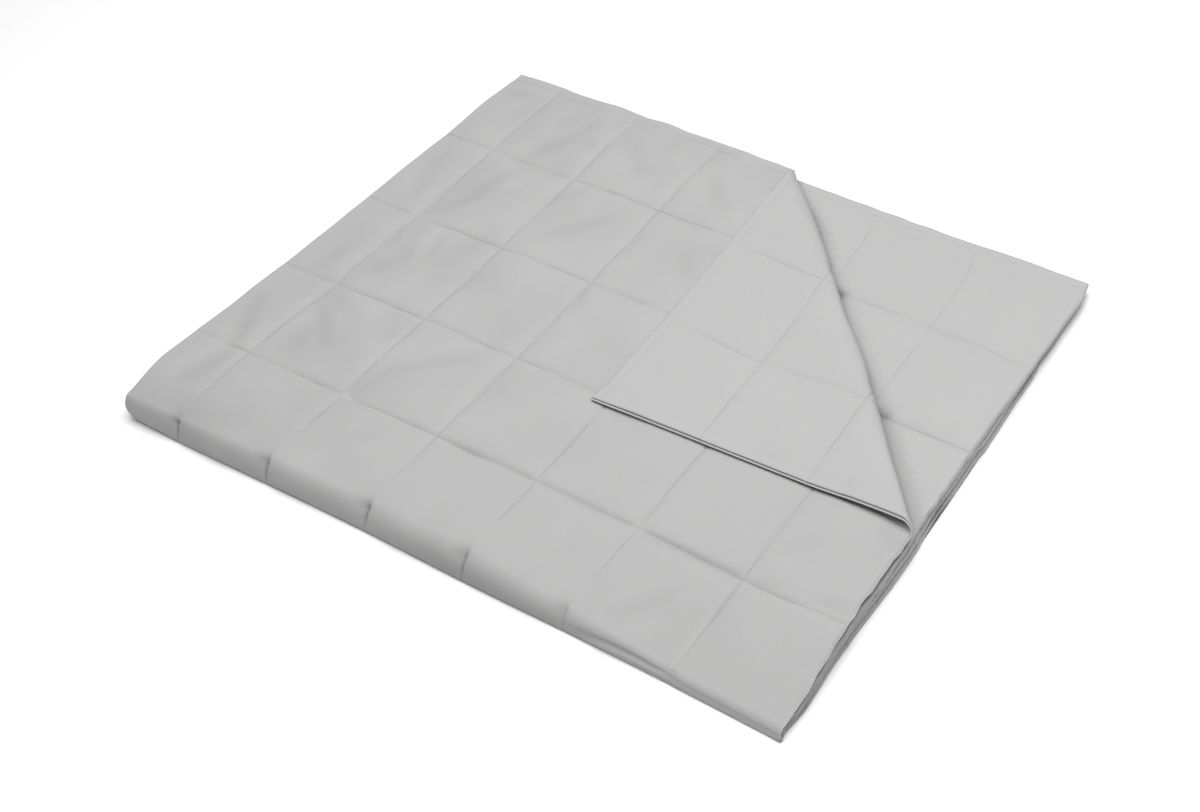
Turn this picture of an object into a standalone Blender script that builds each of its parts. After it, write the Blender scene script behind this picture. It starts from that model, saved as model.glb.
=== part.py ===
"""Quilted weighted blanket, folded in half twice, with one upper corner turned back.

The sheet is described flat first. u runs along its long side and v along its short side,
both measured from the fold lines. The half u > 0 is the outer one: it carries the top
layer (v > 0) and the bottom layer (v < 0). The half u < 0 lies inside it.
Metres, +Z up, standing on the floor at z = 0.
"""

import math

import bmesh
import bpy
import numpy as np

# ---------------------------------------------------------------- driving sizes
CELL = 0.152              # side of one quilted square
COLUMNS_OUTER = 6.00      # first column seam to the hem on the outer half, in cells
COLUMNS_INNER = 5.97      # the same on the inner half
FOLD_1 = 0.62             # fold 1 to the first column seam of the outer half, in cells
HALF_ROWS = 4.98          # fold 2 to the hem, in cells
LAYER = 0.0082            # height one layer takes in the pile
SEAM_THICK = 0.0034       # thickness where the two cloths are sewn together
HEM_WIDE = 0.010          # width of the hem
HEM_THICK = 0.0058        # its thickness
STITCH_THICK = 0.0052     # thickness on the hem's stitch line
LAYER_GAP = 0.0009        # gap between two layers
MIDDLE_GAP = 0.0007       # half of the gap between the two inner layers

# the two folds
FOLD_1_ARC = 0.008        # flat length from fold line 1 to the start of the flat part
FOLD_2_ARC = 0.031        # the same for fold 2
FOLD_1_FLAT = 0.5         # fold 1 is pressed: its bulge as a share of a half circle
FOLD_2_WIDEST = -0.70     # fold 2 is widest low down, at this share of its half height
FOLD_2_WIDE = 1.50        # how far it stands out, as a share of its half height
FOLD_2_STEEP = 0.50       # less of that at the left end
FOLD_2_BACK = 0.0055      # it lies further back at the left
FOLD_2_FORTH = 0.0030     # and further forward at the right
FOLD_2_FOOT = 0.30        # and turns under onto the floor with this share as a radius

# the turned-back corner: its bend runs from A at the back hem to B at the right hem
FLAP_A = (2.736, 4.027)   # in cells from the first column and row seams
FLAP_B = (5.69, 1.19)
FLAP_RADIUS = (0.0060, 0.0072, 0.0066)   # bend radius at A, in the middle and at B
FLAP_PINCH = 0.5          # by B the bend is pinched to this share less of its width
FLAP_CUTS = 6             # mesh lines round the bend
FLAP_LAND = 0.09          # flat length over which the bend comes down onto the pile
FLAP_LIFT = 0.0010        # gap below the turned corner
FLAP_SHEAR = 0.030        # it leans toward the left by this share
EDGE_DRAWN = 0.10         # the last column is drawn in by this much of a cell
LIFT_BEND = 0.003         # the top layer stands up a little beside the bend

# how the pile thins toward its edges, as shares of the layer height
THIN_RIGHT = (0.10, 0.26)     # along the whole right side, and more at the back
THIN_BACK = (0.10, 0.32)      # along the back, and more at the right
PRESS_FRONT = 0.66            # the right half of the front fold is pressed flatter
THIN_LEAST = 0.36

# the layers aren't laid quite square: shares of a cell
INNER_SHIFT = (0.063, -0.093)                   # the second layer lies a little out of step
INNER_OUT = 0.16                                # the inner free edges come out at the front
SKEW_X = (-0.0329, -0.0194, -0.0102, 0.0050)    # by y, xy, yy, xxy
SKEW_Y = (-0.0329, -0.0003, -0.0032, 0.0004)    # by x, xy, xx, xxy
SKEW_AT = (2.65, 1.50)
SKEW_BOTTOM = 0.05                              # the bottom layer's free edge runs in toward the back
SKEW_TOP = 0.08                                 # and so does the top layer's
CORNER_IN = 0.13                                # the front left corner is drawn in

U_OUT = (FOLD_1 + COLUMNS_OUTER) * CELL
U_IN = (1 - FOLD_1 + COLUMNS_INNER) * CELL
V_END = HALF_ROWS * CELL
X_FOLD = -FOLD_1 * CELL + FOLD_1_ARC
Y_FOLD = -(CELL - FOLD_2_ARC)


# ---------------------------------------------------------------- folded shape
def smooth(a, b, x):
    t = np.clip((x - a) / (b - a), 0.0, 1.0)
    return t * t * (3 - 2 * t)


def layer_height(x, y):
    cx, cy = x / CELL, y / CELL
    right = (THIN_RIGHT[0] + THIN_RIGHT[1] * smooth(2.2, 3.6, cy)) * smooth(5.2, 5.95, cx)
    far = (THIN_BACK[0] + THIN_BACK[1] * smooth(1.5, 4.0, cx)) * smooth(3.35, 4.0, cy)
    q = 1 - (right ** 4 + far ** 4) ** 0.25
    q = q * (1 - PRESS_FRONT * smooth(2.6, 5.2, cx) * (1 - smooth(-1.0, 0.0, cy)))
    return LAYER * np.maximum(q, THIN_LEAST)


def seam_distance(u, v):
    """Distances in metres to the nearest column seam and the nearest row seam."""
    c = u / CELL - FOLD_1
    r = np.abs(v) / CELL
    du = np.abs(c - np.round(c)) * CELL
    dv = np.abs(r - np.round(r)) * CELL
    return du, dv


def quilt(u, v):
    """0 on the seams, 1 on the crown of a cell."""
    du, dv = seam_distance(u, v)
    cu = 1 - 0.40 * np.exp(-du / 0.020) - 0.22 * np.exp(-(du / 0.0022) ** 2)
    fold = np.exp(-(np.abs(v) / (1.1 * FOLD_2_ARC)) ** 2)          # no channel shows round fold 2
    side = 1 - 0.85 * np.exp(-(u / 0.030) ** 2)                    # and the rows fade round fold 1
    cv = 1 - side * (1 - fold) * (0.46 * np.exp(-dv / 0.018) + 0.22 * np.exp(-(dv / 0.0026) ** 2))
    return cu * cv


def edge_distance(u, v):
    end = np.where(u > 0, U_OUT, U_IN)
    return np.minimum(end - np.abs(u), V_END - np.abs(v))


def thickness(u, v, h):
    e = edge_distance(u, v)
    body = SEAM_THICK + (h - SEAM_THICK) * quilt(u, v)
    # the cell slopes down to the hem's stitch line, and the hem swells again beyond it
    slope = 1 - np.exp(-np.maximum(e - HEM_WIDE, 0) / 0.014)
    low = v < 0                                   # the lower hems fill their height
    hem_t = np.where(low, 0.95 * h, np.minimum(HEM_THICK, 0.88 * h))
    stitch = np.minimum(STITCH_THICK, 0.80 * h)
    body = stitch + (body - stitch) * slope
    hem = stitch + (hem_t - stitch) * (1 - np.exp(-np.maximum(HEM_WIDE - e, 0) / 0.0022))
    return np.where(e > HEM_WIDE, body, hem)


AX, AY = FLAP_A[0] * CELL, FLAP_A[1] * CELL
BX, BY = FLAP_B[0] * CELL, FLAP_B[1] * CELL
FLAP_LONG = math.hypot(BX - AX, BY - AY)
EX, EY = (BX - AX) / FLAP_LONG, (BY - AY) / FLAP_LONG
NX, NY = -EY, EX


def flap_radius(w):
    q = np.clip(w / FLAP_LONG, 0.0, 1.0)
    r0, r1, r2 = FLAP_RADIUS
    return r0 + (r1 - r0) * smooth(0, 0.5, q) + (r2 - r1) * smooth(0.6, 1, q)


def fold_2_profile():
    """Half outline of fold 2 for a unit half height, by length along it from -1 to 1."""
    t = np.linspace(0, np.pi / 2, 40)
    z0, foot = FOLD_2_WIDEST, FOLD_2_FOOT
    upper = np.stack([FOLD_2_WIDE * np.cos(t), z0 + (1 - z0) * np.sin(t)], 1)[::-1]
    lower = np.stack([FOLD_2_WIDE - foot + foot * np.cos(t), z0 - foot * np.sin(t)], 1)[1:]
    under = np.stack([np.linspace(FOLD_2_WIDE - foot, 0, 12), np.full(12, -1.0)], 1)[1:]
    p = np.concatenate([upper, lower, under])[::-1]
    d = np.concatenate([[0], np.cumsum(np.hypot(*np.diff(p, axis=0).T))])
    return d / d[-1] * 2 - 1, p


PROFILE_AT, PROFILE = fold_2_profile()


def lift(x, y):
    cx, cy = x / CELL, y / CELL
    bend = np.exp(-((cx - 5.6) ** 2 + (cy - 1.1) ** 2) / (2 * 0.45 ** 2))
    return LIFT_BEND * bend


def drawn(u, v):
    """The last column of the outer half is drawn in, except by the back hem."""
    return EDGE_DRAWN * CELL * smooth(5.0, 6.0, u / CELL - FOLD_1) * (1 - smooth(4.0, HALF_ROWS, v / CELL))


def lay(u, v, side):
    """Folded place of flat points. side is +1 on the outer face and -1 on the reverse."""
    u = np.asarray(u, float)
    v = np.asarray(v, float)
    c = u / CELL - FOLD_1
    xs = X_FOLD + np.maximum(np.abs(u) - FOLD_1_ARC, 0) - drawn(u, v)
    ys = Y_FOLD + np.maximum(np.abs(v) - FOLD_2_ARC, 0)
    # the last seams of the outer half bow in at the front
    bow = 0.03 * smooth(2.5, 3.2, c) + 0.03 * smooth(3.2, 4.0, c) - 0.06 * smooth(5.0, 5.95, c)
    xs = xs - bow * CELL * (u > 0) * (1 - smooth(-0.9, 0.1, ys / CELL))
    # the second layer lies out of step
    second = (u < 0) & (v > 0)
    cu, cv = -u / CELL - (1 - FOLD_1), v / CELL
    over = INNER_SHIFT[0] * CELL * second * smooth(0.3, 2.5, cu) * (1 - smooth(5.1, COLUMNS_INNER, cu))
    down = INNER_SHIFT[1] * CELL * second * smooth(0.3, 2.5, cv)
    down = down * (1 - (0.60 + 0.40 * smooth(4.6, 6.0, cu)) * smooth(4.1, HALF_ROWS, cv))
    h = layer_height(xs + over, ys + down)
    t = thickness(u, v, h)
    outer, inner = t / 2, t / 2
    flat = smooth(0.05 * FOLD_2_ARC, 0.5 * FOLD_2_ARC, -v) * smooth(-FOLD_1_ARC, FOLD_1_ARC, u)
    drop = (h / 2 - outer) * flat
    outer, inner = outer + drop, inner - drop
    n = (outer * (1 + side) - inner * (1 - side)) / 2

    a = np.clip(u / FOLD_1_ARC, -1, 1) * np.pi / 2
    r1 = (h + LAYER_GAP) / 2
    xm = np.where(np.abs(u) <= FOLD_1_ARC, X_FOLD - FOLD_1_FLAT * r1 * np.cos(a), xs)
    zm = h + LAYER_GAP / 2 + r1 * np.sin(a)
    x = xm - FOLD_1_FLAT * n * np.cos(a)
    rise = zm + n * np.sin(a)

    b = np.clip(v / FOLD_2_ARC, -1, 1)
    cb, sb = np.interp(b, PROFILE_AT, PROFILE[:, 0]), np.interp(b, PROFILE_AT, PROFILE[:, 1])
    r2 = MIDDLE_GAP + rise
    zc = MIDDLE_GAP + 2 * h + LAYER_GAP
    # fold 2 is steeper towards the left end and keeps its outline where it is flatter
    across = (xs + over) / CELL
    steep = FOLD_2_STEEP * (1 - smooth(-0.6, 3.2, across))
    push = steep * FOLD_2_WIDE * (2 * h + LAYER_GAP + MIDDLE_GAP) + (LAYER - h)
    push = push - FOLD_2_BACK * (1 - smooth(1.6, 4.2, across)) + FOLD_2_FORTH * smooth(3.6, 5.2, across)
    push = push * (1 - smooth(0, 0.09, np.abs(v) - FOLD_2_ARC))
    y = Y_FOLD + np.maximum(np.abs(v) - FOLD_2_ARC, 0)
    ym = y
    y = np.where(np.abs(v) <= FOLD_2_ARC, Y_FOLD - r2 * cb * (1 - steep), y) - push
    z = zc + r2 * sb

    # turned-back corner
    px, py = xm - AX, ym - AY
    w, d = px * EX + py * EY, px * NX + py * NY
    rho = flap_radius(w)
    s = d + rho
    on = (u > 0.05) & (v > 0.05) & (s > 0)
    ph = np.clip(s / rho, 0, np.pi)
    past = s - np.pi * rho
    wide = 1 - FLAP_PINCH * smooth(0.72, 1.0, w / FLAP_LONG)
    xi = np.where(past < 0, rho * np.sin(ph) * wide, -past)
    fx, fy = AX + w * EX + (xi - rho) * NX, AY + w * EY + (xi - rho) * NY
    fx = fx - FLAP_SHEAR * np.maximum(past, 0)
    fy = fy + EDGE_DRAWN * CELL * smooth(4.0, HALF_ROWS, v / CELL) * smooth(0, 0.06, past)
    h2 = layer_height(fx, fy)
    own = zc + MIDDLE_GAP + 1.5 * h + LAYER_GAP
    there = 2 * MIDDLE_GAP + 3.5 * h2 + 2 * LAYER_GAP
    k = smooth(0, np.pi, ph)
    lying = h2 / 2 + FLAP_LIFT + outer
    up = np.where(past < 0, rho * (1 - np.cos(ph)),
                  lying + (2 * rho - lying) * (1 - smooth(0, 1, past / FLAP_LAND)))
    x = np.where(on, fx - n * np.sin(ph) * wide * NX, x)
    y = np.where(on, fy - n * np.sin(ph) * wide * NY, y)
    z = np.where(on, own * (1 - k) + there * k + up + n * np.cos(ph), z)

    z = z + lift(x, y) * ((u > 0) & (v > 0)) * smooth(0.0, 0.3, v / CELL)
    x, y = x + over, y + down
    x = x - 0.10 * CELL * second * smooth(1.0, 3.0, cu) * smooth(4.5, 4.95, cv) * (1 - smooth(5.0, COLUMNS_INNER, cu))
    # the rows turn up at the right edge
    y = y + 0.04 * CELL * (u > 0) * (v > 0) * smooth(5.3, 6.0, c) * smooth(-0.9, 0.0, y / CELL) * smooth(0.0, 0.03, -s)
    kx = np.clip((x - X_FOLD) / (6 * CELL), 0, 1)
    x = x - SKEW_BOTTOM * np.maximum(-v - FOLD_2_ARC, 0) * kx * (u > 0)
    beside = 1 - (1 - smooth(4.2, 5.6, x / CELL)) * (1 - smooth(0, 0.05, -s))
    x = x - SKEW_TOP * CELL * smooth(0.2, 1.7, v / CELL) * kx ** 2 * (u > 0) * (v > 0) * beside
    # the inner layers' free edges come out flush with the outer ones
    r = np.abs(v) / CELL
    second_out = INNER_OUT * (1 - smooth(0.0, 2.4, r)) + 0.062 * np.exp(-((r - 1.8) / 1.25) ** 2)
    third_out = INNER_OUT * (1 - 0.8 * smooth(0.8, 4.5, r)) - 0.055 * smooth(0.3, 1.6, r) - 0.012 * smooth(3.0, 4.8, r)
    x = x + CELL * kx ** 2 * (u < 0) * np.where(v > 0, second_out, third_out)
    x = x + CORNER_IN * CELL * (1 - smooth(-1.0, -0.3, y / CELL)) * (1 - smooth(-0.7, 0.9, x / CELL))
    # the lower pair lies a little further in at the two left corners
    low = (v < 0) * (1 - smooth(-0.7, 0.3, x / CELL))
    x = x + low * (0.014 * smooth(3.0, 4.9, y / CELL) + 0.005 * (1 - smooth(-1.0, -0.5, y / CELL)))
    y = y - low * 0.006 * smooth(4.0, 4.9, y / CELL)
    # rounded sheet corners
    end = np.where(u > 0, U_OUT, U_IN)
    tip = smooth(end - 0.030, end, np.abs(u)) * smooth(V_END - 0.030, V_END, np.abs(v))
    x = x - 0.005 * tip * (v > 0) - 0.002 * tip * (v < 0)
    y = y - 0.003 * second * smooth(5.0, COLUMNS_INNER, cu) * smooth(4.0, HALF_ROWS, cv)
    x = x + 0.0035 * (1 - smooth(-0.9, 0.2, y / CELL)) * smooth(5.0, 5.9, x / CELL)
    cx, cy = x / CELL - SKEW_AT[0], y / CELL - SKEW_AT[1]
    x = x + CELL * (SKEW_X[0] * cy + SKEW_X[1] * cx * cy + SKEW_X[2] * cy * cy + SKEW_X[3] * cx * cx * cy)
    y = y + CELL * (SKEW_Y[0] * cx + SKEW_Y[1] * cx * cy + SKEW_Y[2] * cx * cx + SKEW_Y[3] * cx * cx * cy)
    return np.stack([x, y, z], axis=-1)


# ---------------------------------------------------------------- flat mesh lines
def cell_lines(first, end, fractions):
    """Lines at the given fractions of each cell, from the seam at first to the hem."""
    out = []
    k = 0
    while first + k < end:
        for f in fractions:
            c = first + k + f
            if c < end - 0.13:
                out.append(c * CELL)
        k += 1
    out.append(end * CELL - HEM_WIDE)
    out.append(end * CELL)
    return out


def u_lines():
    arc = list(np.linspace(-FOLD_1_ARC, FOLD_1_ARC, 7))
    outer = [FOLD_1 * CELL * 0.42, FOLD_1 * CELL * 0.80]
    outer += cell_lines(FOLD_1, FOLD_1 + COLUMNS_OUTER, (0.0, 0.13, 0.5, 0.87))
    inner = [(1 - FOLD_1) * CELL * 0.55]
    inner += cell_lines(1 - FOLD_1, 1 - FOLD_1 + COLUMNS_INNER, (0.0, 0.37, 0.74))
    return sorted([-u for u in inner] + arc + outer)


def v_lines():
    arc = list(np.linspace(-FOLD_2_ARC, FOLD_2_ARC, 11))
    near = [0.30 * CELL, 0.50 * CELL, 0.80 * CELL]
    top = near + cell_lines(1.0, HALF_ROWS, (0.0, 0.13, 0.5, 0.87))
    bottom = near + cell_lines(1.0, HALF_ROWS, (0.0, 0.5))
    return sorted([-v for v in bottom] + arc + top)


def flat_sheet():
    """The flat sheet as triangles, cut along the lines where the corner bends."""
    bm = bmesh.new()
    us, vs = u_lines(), v_lines()
    rows = [[bm.verts.new((u - float(drawn(u, v)), v, 0.0)) for u in us] for v in vs]
    for j in range(len(vs) - 1):
        for i in range(len(us) - 1):
            bm.faces.new((rows[j][i], rows[j][i + 1], rows[j + 1][i + 1], rows[j + 1][i]))
    # bend lines of the turned corner, fanned because its radius changes along the fold
    u_of, v_of = FOLD_1_ARC - X_FOLD, FOLD_2_ARC - Y_FOLD
    ends = [float(flap_radius(w)) for w in (0.0, FLAP_LONG)]
    cuts = [[math.pi * k / FLAP_CUTS * r - r for r in ends] for k in range(FLAP_CUTS + 1)]
    cuts += [[math.pi * r - r + past for r in ends] for past in (0.02, 0.055)]
    for cut in cuts:
        p = [(AX + w * EX + d * NX + u_of, AY + w * EY + d * NY + v_of)
             for w, d in zip((0.0, FLAP_LONG), cut)]
        dx, dy = p[1][0] - p[0][0], p[1][1] - p[0][1]
        near = [f for f in bm.faces if f.calc_center_median().x > 0.05 and f.calc_center_median().y > 0.05]
        edges = {e for f in near for e in f.edges}
        verts = {v for f in near for v in f.verts}
        bmesh.ops.bisect_plane(bm, geom=list(verts) + list(edges) + near, dist=1e-4,
                               plane_co=(p[0][0], p[0][1], 0.0), plane_no=(-dy, dx, 0.0))
    bmesh.ops.triangulate(bm, faces=bm.faces[:], quad_method="SHORT_EDGE", ngon_method="BEAUTY")
    bm.verts.index_update()
    points = np.array([(v.co.x, v.co.y) for v in bm.verts])
    short = points[:, 0].copy()
    for k in range(20):
        points[:, 0] = short + drawn(points[:, 0], points[:, 1])
    faces = [tuple(v.index for v in f.verts) for f in bm.faces]
    rim = [(e.link_loops[0].vert.index, e.link_loops[0].link_loop_next.vert.index)
           for e in bm.edges if len(e.link_faces) == 1]
    bm.free()
    return points, faces, rim


def cloth_material(name, colour):
    mat = bpy.data.materials.new(name)
    mat.use_nodes = True
    shader = mat.node_tree.nodes["Principled BSDF"]
    shader.inputs["Base Color"].default_value = (*colour, 1.0)
    shader.inputs["Roughness"].default_value = 0.85
    return mat


def build_blanket():
    points, faces, rim = flat_sheet()
    n = len(points)
    placed = np.concatenate([lay(points[:, 0], points[:, 1], side) for side in (1.0, -1.0)])
    # stand the pile in the middle of its footprint
    low, high = placed.min(axis=0), placed.max(axis=0)
    placed -= np.array([(low[0] + high[0]) / 2, (low[1] + high[1]) / 2, low[2]])
    tris = [f for f in faces]
    tris += [(f[2] + n, f[1] + n, f[0] + n) for f in faces]
    for a, b in rim:
        tris += [(b, a, a + n), (b, a + n, b + n)]
    mesh = bpy.data.meshes.new("weighted_blanket")
    mesh.from_pydata(placed.tolist(), [], tris)
    mesh.validate()
    bm = bmesh.new()
    bm.from_mesh(mesh)
    bmesh.ops.recalc_face_normals(bm, faces=bm.faces[:])
    bm.to_mesh(mesh)
    bm.free()
    for poly in mesh.polygons:
        poly.use_smooth = True
    mesh.materials.append(cloth_material("blanket_cloth", (0.50, 0.50, 0.50)))
    blanket = bpy.data.objects.new("weighted_blanket", mesh)
    bpy.context.scene.collection.objects.link(blanket)
    return blanket


for old in list(bpy.data.objects):
    bpy.data.objects.remove(old, do_unlink=True)
build_blanket()
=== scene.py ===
"""Looks of the folded weighted blanket. Metres, +Z up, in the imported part's frame."""

import math

import bmesh
import bpy
import numpy as np
from mathutils import Matrix, noise


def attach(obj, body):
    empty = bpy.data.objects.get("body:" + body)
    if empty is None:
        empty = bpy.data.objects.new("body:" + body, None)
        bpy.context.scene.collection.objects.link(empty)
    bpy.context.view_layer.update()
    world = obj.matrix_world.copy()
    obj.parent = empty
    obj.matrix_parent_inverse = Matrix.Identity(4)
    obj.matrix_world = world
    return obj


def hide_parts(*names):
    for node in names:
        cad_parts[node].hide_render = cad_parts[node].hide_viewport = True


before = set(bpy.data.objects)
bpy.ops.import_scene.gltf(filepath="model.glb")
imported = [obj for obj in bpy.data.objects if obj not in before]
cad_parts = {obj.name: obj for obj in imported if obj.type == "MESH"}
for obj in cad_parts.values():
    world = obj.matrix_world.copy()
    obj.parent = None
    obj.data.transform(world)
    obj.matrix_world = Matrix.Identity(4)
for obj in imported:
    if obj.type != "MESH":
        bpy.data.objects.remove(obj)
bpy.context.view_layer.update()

# ================================================================ sizes
CELL = 0.152              # side of one quilted square
COLUMNS_OUTER = 6.00
COLUMNS_INNER = 5.97
FOLD_1 = 0.62
HALF_ROWS = 4.98
LAYER = 0.0082
HEM_WIDE = 0.010
LAYER_GAP = 0.0009
MIDDLE_GAP = 0.0007
FOLD_1_ARC = 0.008
FOLD_2_ARC = 0.031

SEAM_THICK = 0.0034
HEM_THICK = 0.0046
STITCH_THICK = 0.0042

FOLD_1_FLAT = 0.5          # fold 1 is pressed: its bulge as a share of a half circle
FOLD_2_WIDEST = -0.70      # fold 2 is widest low down, at this share of its half height
FOLD_2_WIDE = 1.50         # how far it stands out, as a share of its half height
FOLD_2_STEEP = 0.50        # less of that at the left end
FOLD_2_BACK = 0.0055       # the fold lies further back at the left
FOLD_2_FORTH = 0.0030      # and further forward at the right
INNER_BACK = 0.006         # the inner layers' fold stops this far short of the outer one
FOLD_2_FOOT = 0.30         # and turns under onto the floor with this share as a radius

FLAP_A = (2.736, 4.027)
FLAP_B = (5.69, 1.19)
FLAP_RADIUS = (0.0060, 0.0072, 0.0066)
FLAP_PINCH = 0.2           # by B the bend is pinched to this share less of its width
FLAP_CUTS = 12
BEND_NOTCHES = (0.360, 0.698)   # where seams cross the bend, as shares of its length
FLAP_LAND = 0.09
EDGE_DRAWN = 0.10          # the last column is drawn in by this much of a cell where it lies flat
FLAP_SHEAR = 0.030         # the turned corner leans towards the left by this share
LIFT_BEND = 0.003          # the top layer stands up a little where it is turned back
INNER_SHIFT = (0.063, -0.093)   # the second layer lies a little out of step, in cells
FLAP_LIFT = 0.0010

THIN_RIGHT = (0.10, 0.26)  # the layers thin out towards the right hems
THIN_BACK = (0.10, 0.32)   # and towards the back hems
PRESS_FRONT = 0.66
THIN_LEAST = 0.36

SKEW_X = (-0.0329, -0.0194, -0.0102, 0.0050)    # y, xy, yy, xxy
SKEW_Y = (-0.0329, -0.0003, -0.0032, 0.0004)    # x, xy, xx, xxy
SKEW_AT = (2.65, 1.50)
SKEW_BOTTOM = 0.05
SKEW_TOP = 0.08
INNER_OUT = 0.16          # the inner layers' free edges come out by this much at the front
CORNER_IN = 0.13
PLACE = (0.3950, 0.2273)                        # the part frame's origin, in the layout frame

U_OUT = (FOLD_1 + COLUMNS_OUTER) * CELL
U_IN = (1 - FOLD_1 + COLUMNS_INNER) * CELL
V_END = HALF_ROWS * CELL
X_FOLD = -FOLD_1 * CELL + FOLD_1_ARC
Y_FOLD = -(CELL - FOLD_2_ARC)

# camera, in cells from the first seam crossing: place, then azimuth, elevation, roll
CAMERA_AT = (14.324, -9.721, 14.011)
CAMERA_AZ, CAMERA_EL, CAMERA_ROLL = -47.01, 41.58, 13.96
CAMERA_FOCAL = 2687.0     # in pixels of a picture 1200 wide


# ================================================================ folded shape
def smooth(a, b, x):
    t = np.clip((x - a) / (b - a), 0.0, 1.0)
    return t * t * (3 - 2 * t)


def layer_height(x, y):
    cx, cy = x / CELL, y / CELL
    right = (THIN_RIGHT[0] + THIN_RIGHT[1] * smooth(2.2, 3.6, cy)) * smooth(5.2, 5.95, cx)
    far = (THIN_BACK[0] + THIN_BACK[1] * smooth(1.5, 4.0, cx)) * smooth(3.35, 4.0, cy)
    q = 1 - (right ** 4 + far ** 4) ** 0.25
    q = q * (1 - PRESS_FRONT * smooth(2.6, 5.2, cx) * (1 - smooth(-1.0, 0.0, cy)))
    return LAYER * np.maximum(q, THIN_LEAST)


def seam_distance(u, v):
    """Distances in metres to the nearest column seam and the nearest row seam."""
    c = u / CELL - FOLD_1
    r = np.abs(v) / CELL
    du = np.abs(c - np.round(c)) * CELL
    dv = np.abs(r - np.round(r)) * CELL
    return du, dv


def quilt(u, v):
    """0 on the seams, 1 on the crown of a cell."""
    du, dv = seam_distance(u, v)
    cu = 1 - 0.40 * np.exp(-du / 0.020) - 0.22 * np.exp(-(du / 0.0022) ** 2)
    fold = np.exp(-(np.abs(v) / (1.1 * FOLD_2_ARC)) ** 2)          # no channel shows round fold 2
    side = 1 - 0.92 * np.exp(-(u / 0.042) ** 2)                    # and the rows fade round fold 1
    cv = 1 - side * (1 - fold) * (0.46 * np.exp(-dv / 0.018) + 0.22 * np.exp(-(dv / 0.0026) ** 2))
    return cu * cv


def edge_distance(u, v):
    end = np.where(u > 0, U_OUT, U_IN)
    return np.minimum(end - np.abs(u), V_END - np.abs(v))


def thickness(u, v, h):
    e = edge_distance(u, v)
    body = SEAM_THICK + (h - SEAM_THICK) * quilt(u, v)
    # the cell slopes down to the hem's stitch line, and the hem swells again beyond it
    slope = 1 - np.exp(-np.maximum(e - HEM_WIDE, 0) / 0.014)
    low = (v < 0) | (u < 0)                       # all but the top layer's hem fill their height
    hem_t = np.where(low, h + 0.0006, np.minimum(HEM_THICK, 0.88 * h))
    stitch = np.where(low, 0.92 * h, np.minimum(STITCH_THICK, 0.80 * h))
    body = stitch + (body - stitch) * slope
    hem = stitch + (hem_t - stitch) * (1 - np.exp(-np.maximum(HEM_WIDE - e, 0) / 0.0022))
    return np.where(e > HEM_WIDE, body, hem)


AX, AY = FLAP_A[0] * CELL, FLAP_A[1] * CELL
BX, BY = FLAP_B[0] * CELL, FLAP_B[1] * CELL
FLAP_LONG = math.hypot(BX - AX, BY - AY)
EX, EY = (BX - AX) / FLAP_LONG, (BY - AY) / FLAP_LONG
NX, NY = -EY, EX


def flap_radius(w):
    q = np.clip(w / FLAP_LONG, 0.0, 1.0)
    r0, r1, r2 = FLAP_RADIUS
    return r0 + (r1 - r0) * smooth(0, 0.5, q) + (r2 - r1) * smooth(0.6, 1, q)


def bend_place(x, y):
    """Place along the turned corner's bend line, and distance beyond where its bend starts."""
    w, d = (x - AX) * EX + (y - AY) * EY, (x - AX) * NX + (y - AY) * NY
    return w, d + flap_radius(w)


def fold_2_profile():
    """Half outline of fold 2 for a unit half height, by length along it from -1 to 1."""
    t = np.linspace(0, np.pi / 2, 40)
    z0, foot = FOLD_2_WIDEST, FOLD_2_FOOT
    upper = np.stack([FOLD_2_WIDE * np.cos(t), z0 + (1 - z0) * np.sin(t)], 1)[::-1]
    lower = np.stack([FOLD_2_WIDE - foot + foot * np.cos(t), z0 - foot * np.sin(t)], 1)[1:]
    under = np.stack([np.linspace(FOLD_2_WIDE - foot, 0, 12), np.full(12, -1.0)], 1)[1:]
    p = np.concatenate([upper, lower, under])[::-1]
    d = np.concatenate([[0], np.cumsum(np.hypot(*np.diff(p, axis=0).T))])
    return d / d[-1] * 2 - 1, p


PROFILE_AT, PROFILE = fold_2_profile()


def lift(x, y):
    cx, cy = x / CELL, y / CELL
    bend = np.exp(-((cx - 5.6) ** 2 + (cy - 1.1) ** 2) / (2 * 0.45 ** 2))
    return LIFT_BEND * bend


def drawn(u, v):
    """The last column of the outer half is drawn in, except by the back hem."""
    return EDGE_DRAWN * CELL * smooth(5.0, 6.0, u / CELL - FOLD_1) * (1 - smooth(4.0, HALF_ROWS, v / CELL))


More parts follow.
